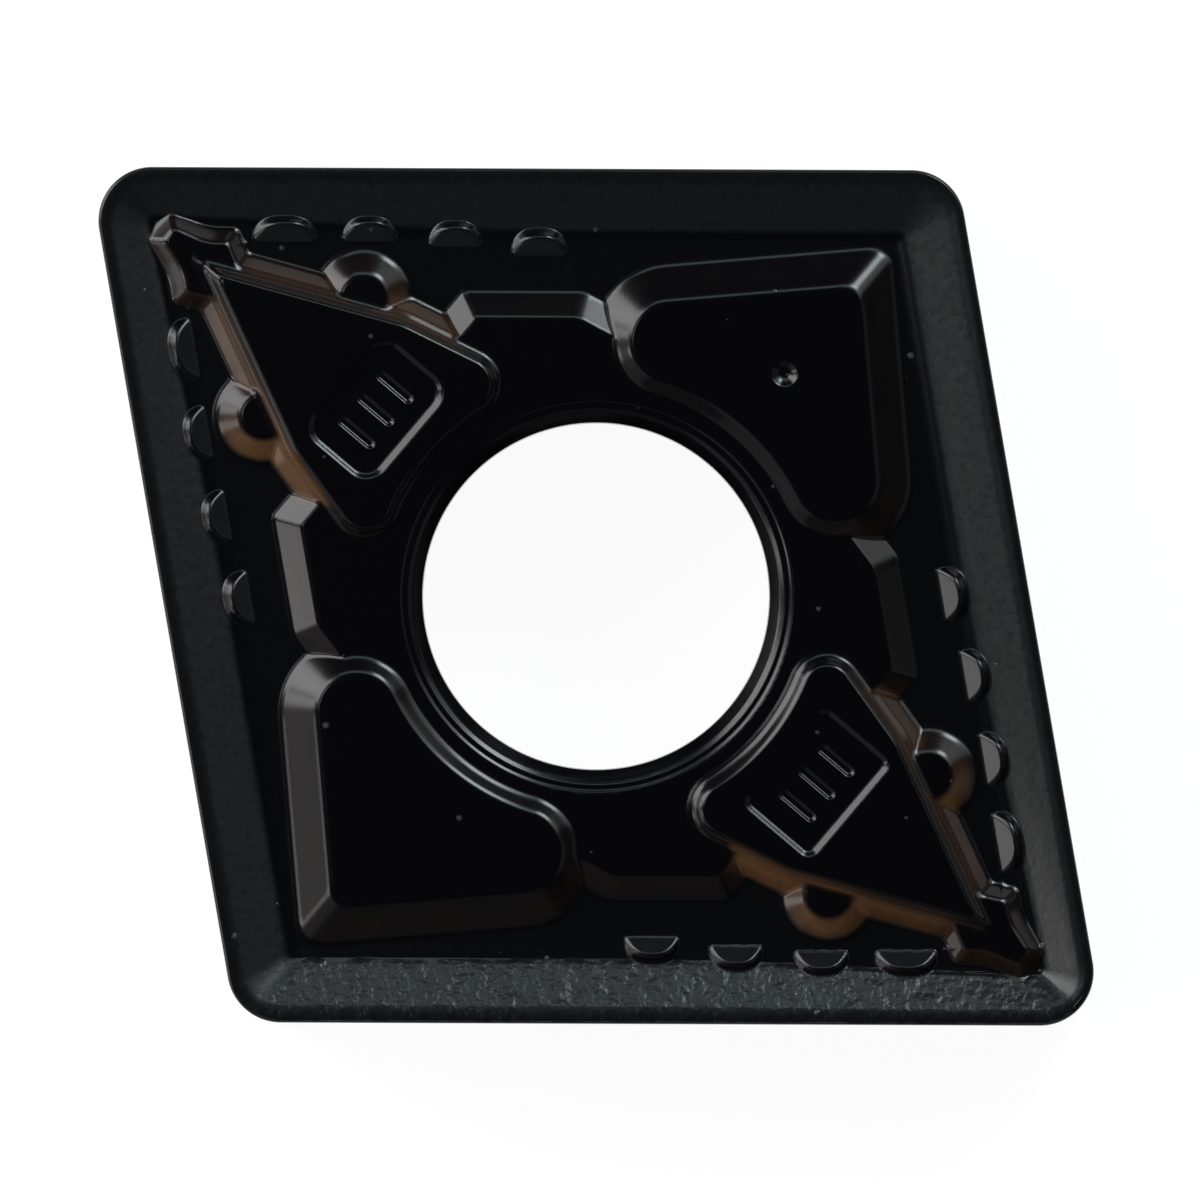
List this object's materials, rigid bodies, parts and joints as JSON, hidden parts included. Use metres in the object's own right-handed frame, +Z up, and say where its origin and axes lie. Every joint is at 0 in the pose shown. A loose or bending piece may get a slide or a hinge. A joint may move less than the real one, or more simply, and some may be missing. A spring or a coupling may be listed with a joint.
{
  "type": "carbide insert",
  "caption": "Rhombic indexable cutting insert of coated carbide, with a round fixing hole, raised seat pads and a moulded chip breaker on both faces.",
  "frame": {"origin": "centre of the fixing hole, on the plane of the lower seat pads", "axes": "+Z up along the fixing hole, +X along two of the flanks, towards the cutting nose at the front right"},
  "size_m": [0.0148, 0.0126, 0.0048],
  "materials": {
    "coated_carbide": "gloss"
  },
  "bodies": {
    "root": {"insert_body": "coated_carbide"}
  },
  "joints": []
}
